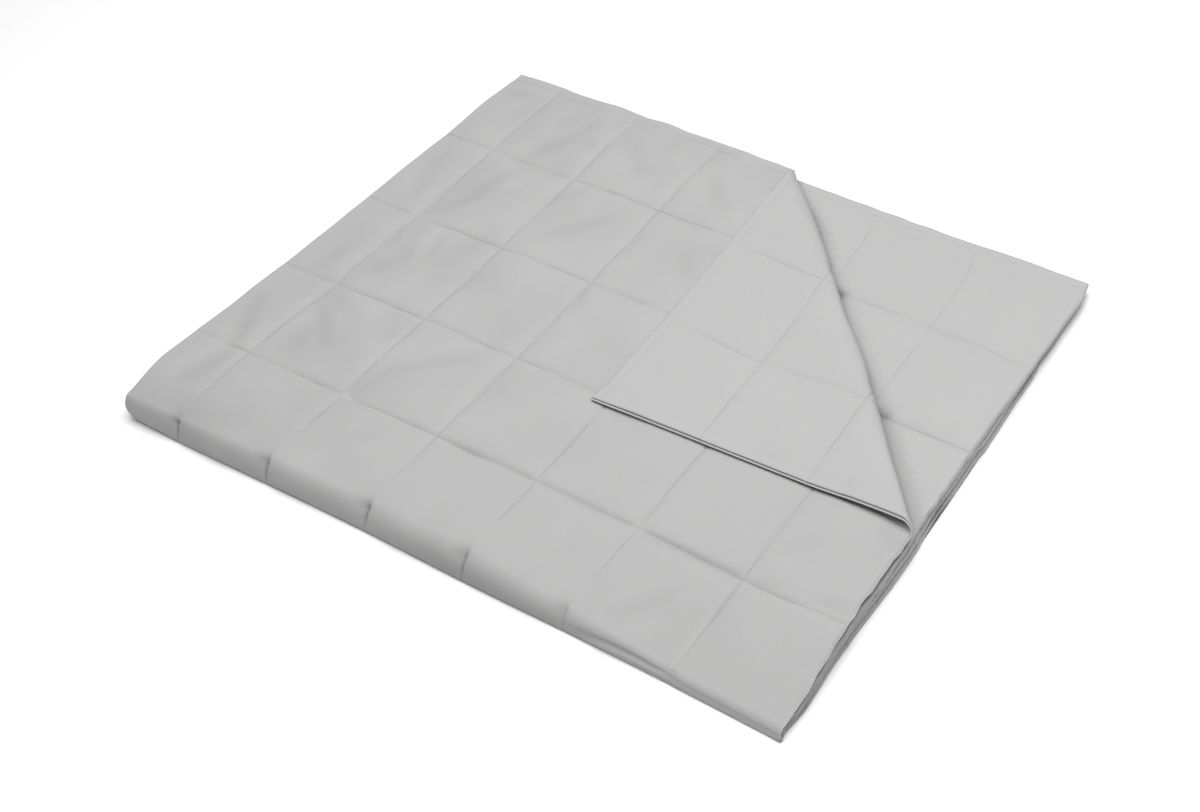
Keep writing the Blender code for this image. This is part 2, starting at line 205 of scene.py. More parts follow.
def lay(u, v, side, out=0.0, back=0.0):
    """Folded place of flat points. side runs from +1, the outer face, to -1, the reverse.
    out and back raise the two faces along their own normals."""
    u = np.asarray(u, float)
    v = np.asarray(v, float)
    c = u / CELL - FOLD_1
    xs = X_FOLD + np.maximum(np.abs(u) - FOLD_1_ARC, 0) - drawn(u, v)
    ys = Y_FOLD + np.maximum(np.abs(v) - FOLD_2_ARC, 0)
    # the last seams of the outer half bow in at the front
    bow = 0.03 * smooth(2.5, 3.2, c) + 0.03 * smooth(3.2, 4.0, c) - 0.06 * smooth(5.0, 5.95, c)
    xs = xs - bow * CELL * (u > 0) * (1 - smooth(-0.9, 0.1, ys / CELL))
    # the second layer lies out of step
    second = (u < 0) & (v > 0)
    cu, cv = -u / CELL - (1 - FOLD_1), v / CELL
    over = INNER_SHIFT[0] * CELL * second * smooth(0.3, 2.5, cu) * (1 - smooth(5.1, COLUMNS_INNER, cu))
    down = INNER_SHIFT[1] * CELL * second * smooth(0.3, 2.5, cv)
    down = down * (1 - (0.60 + 0.40 * smooth(4.6, 6.0, cu)) * smooth(4.1, HALF_ROWS, cv))
    h = layer_height(xs + over, ys + down)
    t = thickness(u, v, h)
    outer, inner = t / 2 + out, t / 2 + back
    flat = smooth(-0.10 * FOLD_2_ARC, 0.27 * FOLD_2_ARC, -v) * smooth(-FOLD_1_ARC, FOLD_1_ARC, u)
    drop = (h / 2 - outer) * flat
    outer, inner = outer + drop, inner - drop
    n = (outer * (1 + side) - inner * (1 - side)) / 2

    a = np.clip(u / FOLD_1_ARC, -1, 1) * np.pi / 2
    r1 = (h + LAYER_GAP) / 2
    xm = np.where(np.abs(u) <= FOLD_1_ARC, X_FOLD - FOLD_1_FLAT * r1 * np.cos(a), xs)
    zm = h + LAYER_GAP / 2 + r1 * np.sin(a)
    x = xm - FOLD_1_FLAT * n * np.cos(a)
    rise = zm + n * np.sin(a)

    b = np.clip(v / FOLD_2_ARC, -1, 1)
    cb, sb = np.interp(b, PROFILE_AT, PROFILE[:, 0]), np.interp(b, PROFILE_AT, PROFILE[:, 1])
    r2 = MIDDLE_GAP + rise
    zc = MIDDLE_GAP + 2 * h + LAYER_GAP
    # fold 2 is steeper towards the left end and keeps its outline where it is flatter
    across = (xs + over) / CELL
    steep = FOLD_2_STEEP * (1 - smooth(-0.6, 3.2, across))
    push = steep * FOLD_2_WIDE * (2 * h + LAYER_GAP + MIDDLE_GAP) + (LAYER - h)
    push = push - FOLD_2_BACK * (1 - smooth(1.6, 4.2, across)) + FOLD_2_FORTH * smooth(3.6, 5.2, across)
    # the inner layers' own fold lies behind the outer one's pinched seams
    push = push - INNER_BACK * smooth(0.0, 0.03, -u) * (1 - smooth(4.6, 5.6, across))
    push = push * (1 - smooth(0, 0.09, np.abs(v) - FOLD_2_ARC))
    y = Y_FOLD + np.maximum(np.abs(v) - FOLD_2_ARC, 0)
    ym = y
    y = np.where(np.abs(v) <= FOLD_2_ARC, Y_FOLD - r2 * cb * (1 - steep), y) - push
    z = zc + r2 * sb

    # turned-back corner
    w, s = bend_place(xm, ym)
    rho = flap_radius(w)
    on = (u > 0.05) & (v > 0.05) & (s > 0)
    ph = np.clip(s / rho, 0, np.pi)
    past = s - np.pi * rho
    wide = 1 - FLAP_PINCH * smooth(0.72, 1.0, w / FLAP_LONG)
    xi = np.where(past < 0, rho * np.sin(ph) * wide, -past)
    xi = xi - 0.0038 * np.sin(ph) * np.exp(-((w / FLAP_LONG - 0.50) / 0.08) ** 2)
    for at in BEND_NOTCHES:
        xi = xi - 0.0016 * np.sin(ph) * np.exp(-((w / FLAP_LONG - at) / 0.018) ** 2)
    fx, fy = AX + w * EX + (xi - rho) * NX, AY + w * EY + (xi - rho) * NY
    fx = fx - FLAP_SHEAR * np.maximum(past, 0)
    fy = fy + EDGE_DRAWN * CELL * smooth(4.0, HALF_ROWS, v / CELL) * smooth(0, 0.06, past)
    h2 = layer_height(fx, fy)
    own = zc + MIDDLE_GAP + 1.5 * h + LAYER_GAP
    there = 2 * MIDDLE_GAP + 3.5 * h2 + 2 * LAYER_GAP
    k = smooth(0, np.pi, ph)
    lying = h2 / 2 + FLAP_LIFT + outer
    up = np.where(past < 0, rho * (1 - np.cos(ph)),
                  lying + (2 * rho - lying) * (1 - smooth(0, 1, past / FLAP_LAND)))
    x = np.where(on, fx - n * np.sin(ph) * wide * NX, x)
    y = np.where(on, fy - n * np.sin(ph) * wide * NY, y)
    z = np.where(on, own * (1 - k) + there * k + up + n * np.cos(ph), z)

    z = z + lift(x, y) * ((u > 0) & (v > 0)) * smooth(0.0, 0.3, v / CELL)
    x, y = x + over, y + down
    x = x - 0.10 * CELL * second * smooth(1.0, 3.0, cu) * smooth(4.5, 4.95, cv) * (1 - smooth(5.0, COLUMNS_INNER, cu))
    # the rows turn up at the right edge
    y = y + 0.04 * CELL * (u > 0) * (v > 0) * smooth(5.3, 6.0, c) * smooth(-0.9, 0.0, y / CELL) * smooth(0.0, 0.03, -s)
    kx = np.clip((x - X_FOLD) / (6 * CELL), 0, 1)
    x = x - SKEW_BOTTOM * np.maximum(-v - FOLD_2_ARC, 0) * kx * (u > 0)
    beside = 1 - (1 - smooth(4.2, 5.6, x / CELL)) * (1 - smooth(0, 0.05, -s))
    x = x - SKEW_TOP * CELL * smooth(0.2, 1.7, v / CELL) * kx ** 2 * (u > 0) * (v > 0) * beside
    # the inner layers' free edges come out flush with the outer ones
    r = np.abs(v) / CELL
    second_out = INNER_OUT * (1 - smooth(0.0, 2.4, r)) + 0.062 * np.exp(-((r - 1.8) / 1.25) ** 2)
    third_out = INNER_OUT * (1 - 0.8 * smooth(0.8, 4.5, r)) - 0.055 * smooth(0.3, 1.6, r) - 0.012 * smooth(3.0, 4.8, r)
    x = x + CELL * kx ** 2 * (u < 0) * np.where(v > 0, second_out, third_out)
    x = x + CORNER_IN * CELL * (1 - smooth(-1.0, -0.3, y / CELL)) * (1 - smooth(-0.7, 0.9, x / CELL))
    # the lower pair lies a little further in at the two left corners
    low = smooth(-0.012, 0.022, -v) * (1 - smooth(-0.7, 0.3, x / CELL))
    near = 1 - smooth(-1.0, -0.5, y / CELL)
    x = x + low * (0.014 * smooth(3.0, 4.9, y / CELL) + 0.012 * near)
    y = y - low * (0.006 * smooth(4.0, 4.9, y / CELL) - 0.007 * near)
    # the outer hems are not quite straight
    right = smooth(0.06, 0.0, U_OUT - u) * smooth(0.02, 0.10, v)
    x = x + right * (0.0011 * np.sin(v / 0.0095 + 1.0) * np.sin(v / 0.041) + 0.0006 * np.sin(v / 0.0052))
    back = smooth(0.08, 0.0, V_END - v) * smooth(0.04, 0.12, u)
    y = y + back * (0.0007 * np.sin(u / 0.016 + 2.0) + 0.0005 * np.sin(u / 0.0110))
    # rounded sheet corners
    end = np.where(u > 0, U_OUT, U_IN)
    tip = smooth(end - 0.030, end, np.abs(u)) * smooth(V_END - 0.030, V_END, np.abs(v))
    x = x - 0.005 * tip * (v > 0) - 0.009 * tip * (v < 0) * smooth(0.5, 1.5, x / CELL)
    y = y - 0.003 * second * smooth(5.0, COLUMNS_INNER, cu) * smooth(4.0, HALF_ROWS, cv)
    x = x + 0.0035 * (1 - smooth(-0.9, 0.2, y / CELL)) * smooth(5.0, 5.9, x / CELL)
    cx, cy = x / CELL - SKEW_AT[0], y / CELL - SKEW_AT[1]
    x = x + CELL * (SKEW_X[0] * cy + SKEW_X[1] * cx * cy + SKEW_X[2] * cy * cy + SKEW_X[3] * cx * cx * cy)
    y = y + CELL * (SKEW_Y[0] * cx + SKEW_Y[1] * cx * cy + SKEW_Y[2] * cx * cx + SKEW_Y[3] * cx * cx * cy)
    return np.stack([x - PLACE[0], y - PLACE[1], z], axis=-1)


# ================================================================ flat mesh lines
def dense(a, b, near=(0.0015, 0.004, 0.008, 0.014), step=0.0098):
    """Lines from seam a to seam b, close together beside the seams."""
    out = [a] + [a + n for n in near]
    lo, hi = a + near[-1], b - near[-1]
    k = max(1, round((hi - lo) / step))
    out += [lo + (hi - lo) * i / k for i in range(1, k)]
    return out + [b - n for n in reversed(near)]


def lines_to_hem(seams, end, fine):
    """Lines over several cells and the hem. fine says which cells get the close lines."""
    out = []
    stops = seams + [end - HEM_WIDE]
    for i in range(len(seams)):
        if fine(i):
            out += dense(stops[i], stops[i + 1])
        else:
            out += dense(stops[i], stops[i + 1], near=(0.004, 0.014), step=0.042)
    e = end - HEM_WIDE
    return out + [e, e + 0.0012, e + 0.003, e + 0.006, e + 0.0088, end]


def u_lines():
    arc = list(np.linspace(-FOLD_1_ARC, FOLD_1_ARC, 13))
    first = FOLD_1 * CELL
    outer = [x for x in dense(FOLD_1_ARC, first)[1:]]
    outer += lines_to_hem([(FOLD_1 + k) * CELL for k in range(6)], U_OUT, lambda i: True)
    first = (1 - FOLD_1) * CELL
    inner = [FOLD_1_ARC + 0.006, 0.026, first - 0.014, first - 0.004]
    inner += lines_to_hem([(1 - FOLD_1 + k) * CELL for k in range(6)], U_IN, lambda i: i >= 3)
    return sorted([-x for x in inner] + arc + outer)


def v_lines():
    arc = list(np.linspace(-FOLD_2_ARC, FOLD_2_ARC, 31))
    top = [0.034, 0.037, 0.041, 0.046, 0.052, 0.058, 0.064, 0.071]
    top += list(np.linspace(0.080, CELL - 0.014, 7)) + [CELL - 0.008, CELL - 0.004, CELL - 0.0015]
    top += lines_to_hem([k * CELL for k in range(1, 5)], V_END, lambda i: True)
    low = [0.037, 0.048, 0.065, 0.09, 0.115, 0.138, 0.148]
    low += lines_to_hem([k * CELL for k in range(1, 5)], V_END, lambda i: False)
    return sorted([-x for x in low] + arc + top)


def flat_sheet():
    bm = bmesh.new()
    us, vs = u_lines(), v_lines()
    rows = [[bm.verts.new((u - float(drawn(u, v)), v, 0.0)) for u in us] for v in vs]
    for j in range(len(vs) - 1):
        for i in range(len(us) - 1):
            bm.faces.new((rows[j][i], rows[j][i + 1], rows[j + 1][i + 1], rows[j + 1][i]))
    u_of, v_of = FOLD_1_ARC - X_FOLD, FOLD_2_ARC - Y_FOLD
    far = (AX + u_of + AY + v_of) - 0.06
    near = [f for f in bm.faces
            if f.calc_center_median().x > 0.05 and f.calc_center_median().y > 0.05
            and f.calc_center_median().x + f.calc_center_median().y > far
            and f.calc_center_median().x + f.calc_center_median().y < far + 0.20]
    for k in range(FLAP_CUTS + 1):
        r = [float(flap_radius(w)) for w in (0.0, FLAP_LONG)]
        cut = [math.pi * k / FLAP_CUTS * x - x for x in r]
        p = [(AX + w * EX + d * NX + u_of, AY + w * EY + d * NY + v_of)
             for w, d in zip((0.0, FLAP_LONG), cut)]
        dx, dy = p[1][0] - p[0][0], p[1][1] - p[0][1]
        near = [f for f in near if f.is_valid]
        edges = {e for f in near for e in f.edges}
        verts = {x for f in near for x in f.verts}
        made = bmesh.ops.bisect_plane(bm, geom=list(verts) + list(edges) + near, dist=2e-4,
                                      plane_co=(p[0][0], p[0][1], 0.0), plane_no=(-dy, dx, 0.0))
        near = list({g for g in made["geom"] if isinstance(g, bmesh.types.BMFace)})
    bm.verts.index_update()
    points = np.array([(x.co.x, x.co.y) for x in bm.verts])
    short = points[:, 0].copy()
    for k in range(20):
        points[:, 0] = short + drawn(points[:, 0], points[:, 1])
    faces = [tuple(x.index for x in f.verts) for f in bm.faces]
    start = next(e for e in bm.edges if len(e.link_faces) == 1)
    rim = {}
    for e in bm.edges:
        if len(e.link_faces) == 1:
            loop = e.link_loops[0]
            rim[loop.vert.index] = loop.link_loop_next.vert.index
    first = start.link_loops[0].vert.index
    ring = [first]
    while rim[ring[-1]] != first:
        ring.append(rim[ring[-1]])
    bm.free()
    return points, faces, ring


# ================================================================ small relief and painted shading
def ripple(u, v, seed, scale, depth):
    """Smooth uneven swelling, the same on every run."""
    return np.array([noise.noise((a / scale + seed, b / scale - seed, seed * 1.7)) for a, b in zip(u, v)]) * depth


def crease(u, v, table):
    """Soft troughs and ridges, each from one place on the cells to another."""
    c, r = u / CELL - FOLD_1, v / CELL
    total = np.zeros_like(u)
    for c0, r0, c1, r1, half, high in table:
        lc, lr = c1 - c0, r1 - r0
        long = math.hypot(lc, lr)
        along = ((c - c0) * lc + (r - r0) * lr) / long
        across = ((r - r0) * lc - (c - c0) * lr) / long
        fade = smooth(-0.12, 0.10, along) * (1 - smooth(long - 0.10, long + 0.12, along))
        total += high * 0.001 * fade * np.exp(-(across * CELL * 1000 / half) ** 2)
    return total


# column and row at one end, column and row at the other, half width in mm, height in mm
TOP_CREASES = [
    (-0.28, 0.51, -0.14, 0.93, 9, -4.2),      # beside the first column seam
    (-0.40, 0.62, -0.34, 1.10, 14, 2.8),
    (-0.47, 1.60, -0.21, 1.02, 10, -3.4),
    (-0.34, 2.05, -0.27, 2.37, 9, -2.2),
    (-0.24, 3.21, -0.42, 3.74, 12, -2.5),
    (0.11, 1.72, 0.43, 1.40, 9, -4.2),        # under the second crossing, fanning out
    (0.22, 1.20, 0.22, 1.50, 14, -3.6),
    (0.10, 1.88, 0.45, 1.72, 7, -2.2),
    (0.28, 1.92, 0.62, 1.78, 9, 2.0),
    (0.06, 2.20, 0.30, 2.62, 16, -3.4),       # right of the first seam
    (-0.02, 2.41, 0.26, 2.26, 8, -2.0),
    (0.03, 2.76, 0.07, 2.53, 10, -2.5),
    (0.09, 2.91, 0.14, 2.80, 6, -2.2),
    (0.44, 2.87, 0.50, 2.56, 9, -3.1),
    (0.66, 2.94, 0.66, 2.60, 14, -2.5),
    (0.30, 2.92, 0.32, 2.62, 10, 2.2),
    (0.09, 3.11, 0.22, 3.37, 9, -3.1),
    (0.19, 3.50, 0.36, 3.76, 8, -3.9),
    (0.16, 3.36, 0.30, 3.52, 16, -3.4),
    (0.10, 3.53, 0.16, 3.90, 8, -2.2),
    (0.45, 3.62, 0.60, 3.86, 12, 2.2),
    (0.38, 4.16, 0.44, 4.34, 7, -2.8),
    (0.34, 3.98, 0.62, 4.50, 9, -2.5),
    (0.38, 4.56, 0.40, 4.68, 7, -3.4),        # by the back hem
    (0.66, 4.62, 0.66, 4.74, 7, -3.4),
    (0.75, 4.46, 0.98, 4.41, 8, -2.5),
    (0.91, 4.72, 0.89, 4.86, 6, -3.4),
    (-0.12, 4.66, -0.13, 4.50, 6, -2.8),
    (-0.46, 4.76, -0.33, 4.69, 7, -2.8),
    (-0.39, 4.76, 0.01, 4.79, 4, -2.8),
    (1.15, 4.65, 1.54, 4.34, 10, -3.1),
    (1.60, 4.72, 1.62, 4.86, 7, -2.5),
    (2.17, 4.60, 2.38, 4.37, 8, -3.4),        # upright folds by the turned corner
    (2.30, 4.66, 2.52, 4.42, 8, 2.0),
    (2.51, 3.67, 2.76, 3.37, 9, -2.5),
    (1.23, 3.30, 1.62, 3.71, 9, -2.5),        # waves across the second column
    (0.99, 3.68, 1.19, 3.91, 8, -2.2),
    (1.06, 1.03, 1.17, 1.39, 8, -2.8),
    (1.17, 1.39, 1.66, 1.82, 9, -2.5),
    (0.80, 1.74, 0.96, 1.71, 7, -2.5),
    (1.98, 2.92, 2.09, 2.70, 8, -2.0),
    (4.34, 0.28, 4.59, 0.60, 12, -2.0),       # the calmer front right
    (3.60, 0.50, 3.65, 0.67, 9, -1.4),
    (5.14, 1.33, 5.36, 1.56, 10, -1.4),
    (5.69, 1.08, 5.98, 1.10, 4, -3.4),
    (2.15, 0.99, 2.90, 1.00, 5, -1.0),        # row seams drawn deeper towards the right
    (3.08, 0.99, 3.92, 0.98, 6, -1.6),
    (4.08, 0.98, 4.95, 0.99, 7, -2.2),
    (5.08, 1.02, 5.30, 1.06, 9, -1.6),
    (5.80, 1.86, 6.00, 1.78, 7, -2.5),
]
TURNED_CREASES = [
    (5.04, 3.04, 5.60, 3.08, 9, -1.0),
    (5.72, 3.25, 5.71, 3.08, 7, -1.0),
    (6.00, 2.70, 5.86, 2.65, 5, -1.8),
    (6.00, 3.00, 5.84, 3.02, 4, -1.6),
    (5.06, 4.58, 4.45, 4.37, 14, -1.0),
]
SECOND_CREASES = [
    (4.19, 4.02, 5.02, 3.97, 6, -1.0),        # along the row seams
    (5.06, 4.00, 5.64, 3.95, 6, -1.8),
    (5.70, 4.00, 5.97, 3.98, 4, -1.0),
    (4.09, 4.81, 4.93, 4.82, 6, -1.0),
    (5.21, 4.72, 5.49, 4.79, 6, -0.8),
    (5.52, 3.45, 5.64, 3.74, 9, -0.8),
    (5.10, 3.01, 5.69, 3.00, 6, -1.4),
    (5.68, 3.02, 5.76, 3.17, 5, -1.4),
    (5.73, 2.98, 5.97, 3.00, 4, -1.2),
    (5.70, 2.47, 5.92, 2.46, 6, -1.2),
]


def relief(u, v):
    """How far the outer and the reverse face stand up from the plain quilt, in metres, and the shade and light painted
    on each.
    """
    c, r = u / CELL - FOLD_1, v / CELL
    top = (u > -FOLD_1_ARC) & (v > -FOLD_2_ARC)
    out = np.zeros_like(u)
    i = np.nonzero(top)[0]
    calm = 1 - 0.65 * smooth(1.0, 4.0, c[i] - 0.5 * (r[i] - 2))
    waves = (ripple(u[i], v[i], 3.1, 0.070, 0.0038) + ripple(u[i], v[i], 8.7, 0.030, 0.0012)) * calm
    waves = waves * (1 - 0.6 * np.exp(-(u[i] / 0.04) ** 2))
    folds = crease(u[i], v[i], TOP_CREASES)
    out[i] = (waves + folds) * smooth(-0.020, 0.006, v[i])
    painted_shading = np.zeros_like(u)
    # painted shade in the creases and wave troughs, painted highlight on their ridges
    painted_shading[i] = -1450 * folds - 800 * waves
    back = np.zeros_like(u)
    # the reverse shows only on the turned corner and on the second layer beyond its bend
    bare = (v > 0) & (u > 3.2 * CELL)
    i = np.nonzero(bare)[0]
    w, s = bend_place(X_FOLD + u[i] - FOLD_1_ARC, Y_FOLD + v[i] - FOLD_2_ARC)
    shown = smooth(0.0, 0.03, s)
    folds = crease(u[i], v[i], TURNED_CREASES)
    back[i] = shown * (ripple(u[i], v[i], 5.3, 0.080, 0.0016) + ripple(u[i], v[i], 1.9, 0.034, 0.0006) + folds)
    under_painted_shading = np.zeros_like(u)
    # painted shade on the rounding of the turned corner's bend
    under_painted_shading[i] = -700 * folds + 9.0 * np.exp(-((s - 0.012) / 0.008) ** 2)
    bare = (v > 0) & (u < -2.8 * CELL)
    i = np.nonzero(bare)[0]
    w, s = bend_place(X_FOLD - u[i] - FOLD_1_ARC, Y_FOLD + v[i] - FOLD_2_ARC)
    shown = smooth(-0.01, 0.03, s)
    folds = crease((2 * FOLD_1 - 1) * CELL - u[i], v[i], SECOND_CREASES)
    back[i] = shown * (ripple(u[i], v[i], 5.3, 0.080, 0.0016) + ripple(u[i], v[i], 1.9, 0.034, 0.0006) + folds)
    off = s - flap_radius(w) - 0.002
    # painted shadow of the turned corner on the second layer beside its bend, deeper in a patch near A
    under_painted_shading[i] = -700 * folds + 13 * np.exp(-(np.maximum(off - 0.004, 0) / 0.009) ** 2)
    q = w / FLAP_LONG
    under_painted_shading[i] += 12 * np.exp(-((q - 0.17) / 0.10) ** 2) * np.exp(-(np.maximum(off - 0.004, 0) / 0.009) ** 2)
    e = (r[i] - np.round(r[i])) * CELL
    # painted shade along the second layer's row seams
    under_painted_shading[i] += 5.0 * np.exp(-(e / 0.0024) ** 2) * smooth(0.0, 0.03, s) * (r[i] < 3.5)
    # deeper painted shadow below the notches where seams cross the bend
    for at, shade in zip(BEND_NOTCHES, (32.0, 18.0)):
        under_painted_shading[i] += shade * np.exp(-((q - at - 0.022) / 0.015) ** 2 - (np.maximum(off - 0.004, 0) / 0.008) ** 2)
    d = (c - np.round(c)) * CELL
    e = (r - np.round(r)) * CELL
    # uneven stitched grooves, shallow at the crossings
    i = np.nonzero(top & (edge_distance(u, v) > 0.5 * HEM_WIDE))[0]
    calm2 = 1 - smooth(1.0, 4.0, c[i] - 0.5 * (r[i] - 2))
    along = 0.75 + ripple(u[i], v[i], 12.3, 0.060, 0.9)
    apart = 1 - 0.7 * np.exp(-(e[i] / 0.007) ** 2)
    out[i] -= 0.0011 * np.clip(along, 0.2, 1.4) * np.exp(-(d[i] / 0.0021) ** 2) * apart * smooth(0.02, 0.11, v[i])
    along = 0.75 + ripple(u[i], v[i], 14.9, 0.060, 0.9)
    apart = 1 - 0.7 * np.exp(-(d[i] / 0.007) ** 2)
    row = (v[i] > 0.05) * (1 + 0.6 * (r[i] < 1.5)) * (1 - 0.95 * np.exp(-(u[i] / 0.045) ** 2))
    puffy = 0.5 + ripple(u[i], v[i], 17.5, 0.110, 0.8)
    puffy = np.clip(puffy, 0.1, 1.2) * (0.5 + 0.5 * calm2)
    ridge = np.exp(-((d[i] + 0.013) / 0.009) ** 2)
    # painted highlight left of each column seam and painted shade right of it, fading at the row seams
    shade = np.exp(-((d[i] - 0.009) / 0.010) ** 2) - 0.9 * np.exp(-((d[i] + 0.008) / 0.008) ** 2)
    shade = shade * (1 - 0.9 * np.exp(-(e[i] / 0.012) ** 2))
    painted_shading[i] += puffy * smooth(0.05, 0.15, v[i]) * 2.2 * shade * (0.30 + 0.70 * calm2)
    out[i] += puffy * 0.0010 * ridge * smooth(0.04, 0.12, v[i])
    out[i] -= puffy * (0.0022 * np.exp(-np.abs(d[i]) / 0.012) * smooth(0.03, 0.12, v[i]) + 0.0018 * np.exp(-np.abs(e[i]) / 0.011) * row)
    out[i] -= 0.0010 * np.clip(along, 0.2, 1.4) * np.exp(-(e[i] / 0.0026) ** 2) * apart * row
    # the front fold is pinched at each column seam
    side = (u > 0.02) & (c < 5.6)
    deep = layer_height(c * CELL, np.full_like(c, -0.8 * CELL)) / LAYER
    tick = smooth(-0.010, -0.001, v) * (1 - smooth(0.016, 0.032, v)) * side
    pinch = 0.0052 * deep * (1 - 0.75 * smooth(2.4, 3.6, c)) * tick * np.exp(-np.abs(d) / 0.0022)
    dimple = np.exp(-((v - 0.022) / 0.014) ** 2) * side * deep * (1 - 0.3 * smooth(2, 4, c))
    pinch += dimple * (0.0036 * np.exp(-((d + 0.008) / 0.011) ** 2) + 0.0010 * np.exp(-((d - 0.010) / 0.016) ** 2))
    out -= pinch
    back += 0.95 * pinch
    # painted shade in the dimple left of each pinch and a painted dark line down each pinch
    soft = smooth(2.4, 3.6, c)
    beside = np.exp(-((d + 0.002) / np.where(d < -0.002, 0.014, 0.0035)) ** 2)
    dark = (13.0 - 3.0 * soft) * np.exp(-((v - 0.022) / 0.011) ** 2) * side * (1 - 0.95 * smooth(4.3, 4.7, c)) * beside
    dark += 18.0 * (1 - 0.7 * soft - 0.3 * smooth(4.0, 4.9, c)) * tick * np.exp(-(d / 0.0013) ** 2)
    # painted shade: the side darkens towards the floor, most at the left
    dark += (6.0 + 2.0 * smooth(1.8, 3.6, c)) * (u > 0) * (1 - smooth(-0.012, 0.014, v)) * smooth(-0.03, -0.02, v)
    # painted shade as a dark line where the fold meets the floor
    dark += 19.0 * (u > 0) * np.exp(-((v + 0.0122) / 0.0033) ** 2)
    # more painted shade low on the side, most near the middle of the front
    below = np.exp(-(np.maximum(v, 0) / 0.024) ** 2) * smooth(-0.03, -0.02, v) * (u > 0)
    dark += (2.5 + 5.0 * np.exp(-((c - 3.0) / 0.6) ** 2)) * below
    # towards the right the fold's foot stands out as a narrow lip
    lip = smooth(3.95, 4.35, c) * (1 - 0.60 * smooth(4.80, 5.05, c)) * (u > 0)
    rise = v + 0.0055 - 0.0095 * smooth(3.9, 4.6, c) + 0.0060 * smooth(4.7, 5.5, c)
    out += 0.0009 * lip * np.exp(-((rise + 0.0010) / 0.0035) ** 2)
    out -= 0.0014 * lip * np.exp(-((rise - 0.0070) / 0.0040) ** 2)
    # painted highlight along the lip and painted shade above it
    dark += lip * (5.0 * np.exp(-((rise - 0.0062) / 0.0034) ** 2) - 9.0 * np.exp(-((rise - 0.0002) / 0.0019) ** 2))
    dark -= 3.0 * lip * smooth(-0.0115, -0.0085, v) * (1 - smooth(-0.004, 0.0, rise))
    dark += 5.0 * (u > 0) * np.exp(-((c - 4.5) / 0.40) ** 2 - ((rise - 0.0110) / 0.0080) ** 2)
    # painted shade on the top of the fold's left end
    dark += 6.0 * (u > 0) * np.exp(-((v - 0.042) / 0.028) ** 2) * (1 - smooth(0.0, 1.4, c)) * smooth(-0.01, 0.02, v)
    # a small dark bar across the first column seam on the fold
    dark += 16.0 * (np.abs(c) < 0.03) * np.exp(-((v - 0.0225) / 0.0012) ** 2)
    # the last column's seam runs on as a clear line down to the fold
    last = smooth(0.020, 0.045, v) * (1 - smooth(0.130, 0.150, v)) * (np.abs(c - 5) < 0.2)
    out -= 0.0010 * last * np.exp(-(d / 0.0021) ** 2)
    # painted shade along this seam with a painted highlight left of it
    dark += last * (4.5 * np.exp(-((d - 0.0012) / 0.0018) ** 2) - 2.5 * np.exp(-((d + 0.0040) / 0.0030) ** 2))
    # behind the fold the column seams stand up as faint ridges, with a painted highlight on them
    stood = smooth(0.018, 0.034, v) * (1 - smooth(0.06, 0.11, v)) * side * np.exp(-(d / 0.0030) ** 2)
    out += 0.0012 * stood
    painted_shading -= 1.6 * stood
    # the outer face is plain where it is turned over, and no swelling pushes into the turned corner
    xs, ys = X_FOLD + u - FOLD_1_ARC - drawn(u, v), Y_FOLD + v - FOLD_2_ARC
    w, s = bend_place(xs, ys)
    outer = (u > 0.05) & (v > 0.05)
    turned = smooth(-0.010, 0.015, s) * outer
    d = np.minimum(s - flap_radius(w), 0)
    x_over, y_over = xs - 2 * d * NX, ys - 2 * d * NY
    x_end, y_end = X_FOLD + U_OUT - FOLD_1_ARC - EDGE_DRAWN * CELL, Y_FOLD + V_END - FOLD_2_ARC
    under = smooth(-0.03, 0.01, x_end - x_over) * smooth(-0.03, 0.01, y_end - y_over) * outer
    out = out - under * np.maximum(out + 0.0003, 0)
    out = out * (1 - turned)
    painted_shading = np.where(outer & (s > 0), 0, painted_shading)
    # painted shade along the outer side of the turned corner's bend, deeper at the notches
    dark = np.where(outer & (s > -0.01), 0, dark) + 7.0 * outer * np.exp(-((s - 0.008) / 0.007) ** 2)
    for at, shade in zip(BEND_NOTCHES, (12.0, 4.0)):
        dark += shade * outer * np.exp(-((w / FLAP_LONG - at) / 0.012) ** 2 - ((s - 0.010) / 0.008) ** 2)
    return out, back, np.clip(painted_shading, -1.5, 5.0) + dark, np.clip(under_painted_shading, -2.0, 36.0)


